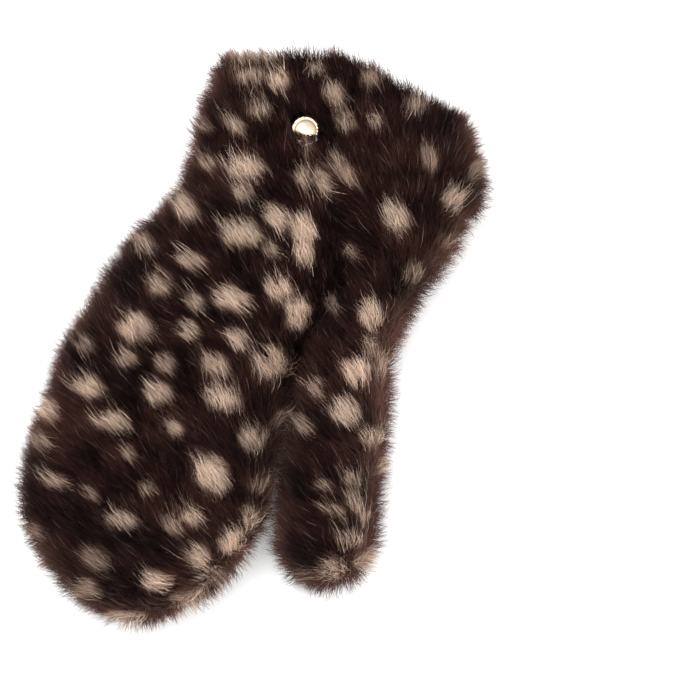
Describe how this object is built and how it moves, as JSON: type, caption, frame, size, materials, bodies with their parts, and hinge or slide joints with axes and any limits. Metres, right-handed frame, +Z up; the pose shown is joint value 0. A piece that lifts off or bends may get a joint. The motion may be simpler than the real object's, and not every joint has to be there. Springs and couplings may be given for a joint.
{
  "type": "faux fur mitten",
  "caption": "Long-pile faux fur mitten with a spotted pattern, a sewn-on cuff, a gusseted thumb and a round metal snap, lying flat.",
  "frame": {"origin": "middle of the outer box, on the surface that the mitten lies on", "axes": "+Y from the finger end towards the mouth of the cuff, +X towards the thumb side, +Z up from the surface"},
  "size_m": [0.204, 0.25, 0.051],
  "materials": {
    "fur": "deep soft pile, dark chocolate with pale beige spots",
    "gold": "polished pale gold"
  },
  "bodies": {
    "root": {"hand_back": "fur", "hand_palm": "fur", "thumb_back": "fur", "thumb_palm": "fur", "cuff_shell": "fur", "snap": "gold"}
  },
  "joints": []
}
